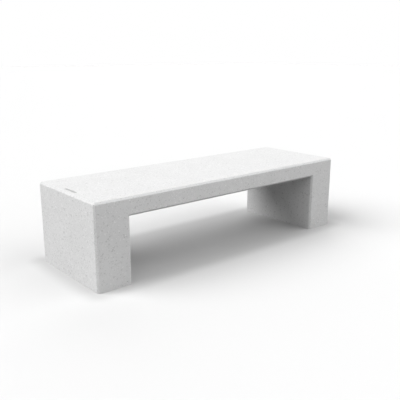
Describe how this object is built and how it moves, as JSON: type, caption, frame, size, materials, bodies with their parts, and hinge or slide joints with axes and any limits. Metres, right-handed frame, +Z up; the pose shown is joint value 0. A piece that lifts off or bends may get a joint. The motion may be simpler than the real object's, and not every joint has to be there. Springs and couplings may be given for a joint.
{
  "type": "backless bench",
  "caption": "Low precast concrete street bench in one portal shape, a flat seat slab on two full-width slab legs, with base sockets for ground bolts and a blank marker plate in the seat.",
  "frame": {"origin": "on the ground, under the middle of the bench: the centre of the bottom of its box", "axes": "+X along the bench's length, away from the end with the marker plate; +Y from the front to the back; +Z up"},
  "size_m": [1.8, 0.6, 0.46],
  "materials": {
    "terrazzo_concrete": "matte",
    "marker_plate": "satin",
    "reinforcing_steel": "matte",
    "socket_steel": "satin",
    "spacer_cement": "matte"
  },
  "bodies": {
    "root": {"concrete_body": "terrazzo_concrete", "marker_plate": "marker_plate", "back_left_socket": "socket_steel", "back_right_socket": "socket_steel", "front_left_socket": "socket_steel", "front_right_socket": "socket_steel", "left_anchor_bar": "reinforcing_steel", "left_head_link": "reinforcing_steel", "left_leg_inner_bar_1": "reinforcing_steel", "left_leg_inner_bar_2": "reinforcing_steel", "left_leg_inner_bar_3": "reinforcing_steel", "left_leg_inner_bar_4": "reinforcing_steel", "left_leg_link_1": "reinforcing_steel", "left_leg_link_2": "reinforcing_steel", "left_leg_link_3": "reinforcing_steel", "left_leg_spacer_blocks": "spacer_cement", "portal_bar_1": "reinforcing_steel", "portal_bar_2": "reinforcing_steel", "portal_bar_3": "reinforcing_steel", "portal_bar_4": "reinforcing_steel", "portal_bar_5": "reinforcing_steel", "right_anchor_bar": "reinforcing_steel", "right_head_link": "reinforcing_steel", "right_leg_inner_bar_1": "reinforcing_steel", "right_leg_inner_bar_2": "reinforcing_steel", "right_leg_inner_bar_3": "reinforcing_steel", "right_leg_inner_bar_4": "reinforcing_steel", "right_leg_link_1": "reinforcing_steel", "right_leg_link_2": "reinforcing_steel", "right_leg_link_3": "reinforcing_steel", "right_leg_spacer_blocks": "spacer_cement", "seat_bottom_bar_1": "reinforcing_steel", "seat_bottom_bar_2": "reinforcing_steel", "seat_bottom_bar_3": "reinforcing_steel", "seat_bottom_bar_4": "reinforcing_steel", "seat_bottom_bar_5": "reinforcing_steel", "seat_link_1": "reinforcing_steel", "seat_link_2": "reinforcing_steel", "seat_link_3": "reinforcing_steel", "seat_link_4": "reinforcing_steel", "seat_link_5": "reinforcing_steel", "seat_link_6": "reinforcing_steel", "seat_link_7": "reinforcing_steel", "seat_link_8": "reinforcing_steel", "seat_link_9": "reinforcing_steel", "seat_spacer_blocks": "spacer_cement"}
  },
  "joints": []
}
